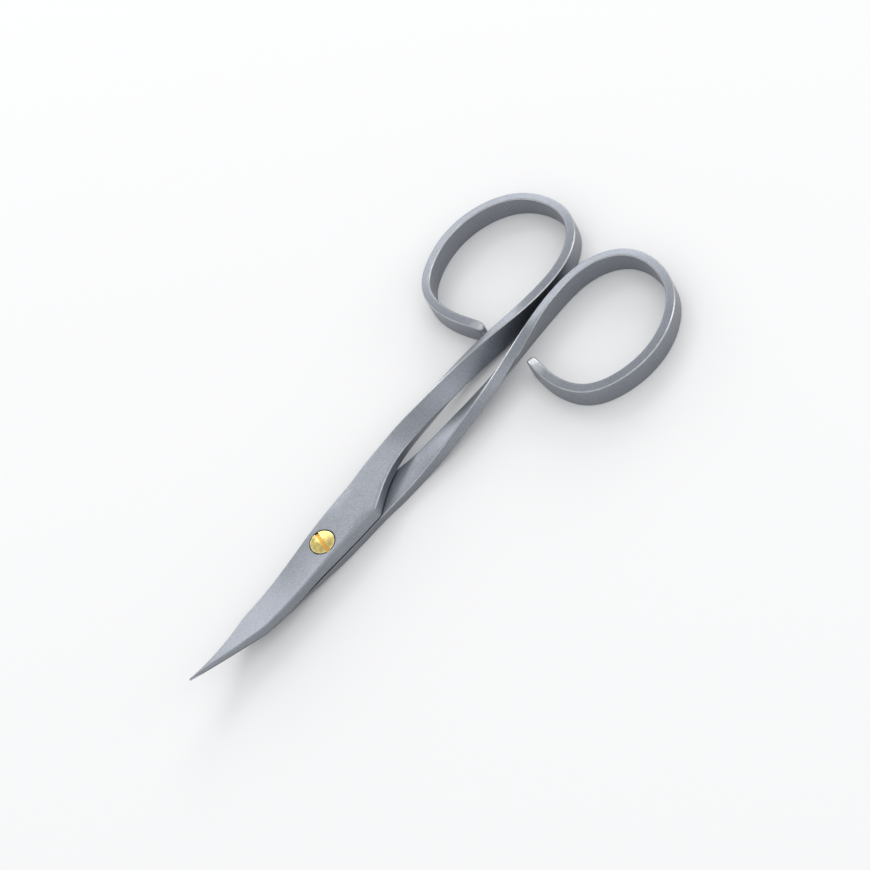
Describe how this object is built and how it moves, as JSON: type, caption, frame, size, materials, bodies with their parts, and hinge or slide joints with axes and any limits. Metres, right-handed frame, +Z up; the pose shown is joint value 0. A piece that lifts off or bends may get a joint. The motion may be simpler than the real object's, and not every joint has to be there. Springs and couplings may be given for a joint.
{
  "type": "curved nail scissors",
  "caption": "Small curved-blade nail scissors: two forged halves crossing on one slotted screw, each bent round into an open finger loop.",
  "frame": {"origin": "middle of the closed scissors in plan, at the height of the surface they rest on", "axes": "+Y towards the finger loops, blades towards -Y; +Z up, the side with the screw's head; lower half's loop on +X"},
  "size_m": [0.0434, 0.0928, 0.006],
  "materials": {
    "upper_steel": "satin, bead blasted",
    "lower_steel": "satin, bead blasted",
    "screw_brass": "polished, gilt"
  },
  "bodies": {
    "lower_half": {"lower_blade_half": "lower_steel", "pivot_screw": "screw_brass"},
    "upper_half": {"upper_blade_half": "upper_steel"}
  },
  "joints": [
    {"name": "pivot", "type": "hinge", "parent": "lower_half", "child": "upper_half", "pos_m": [0, -0.0181, 0.002], "axis": [0, 0, 1], "range_deg": [0, 145]}
  ]
}
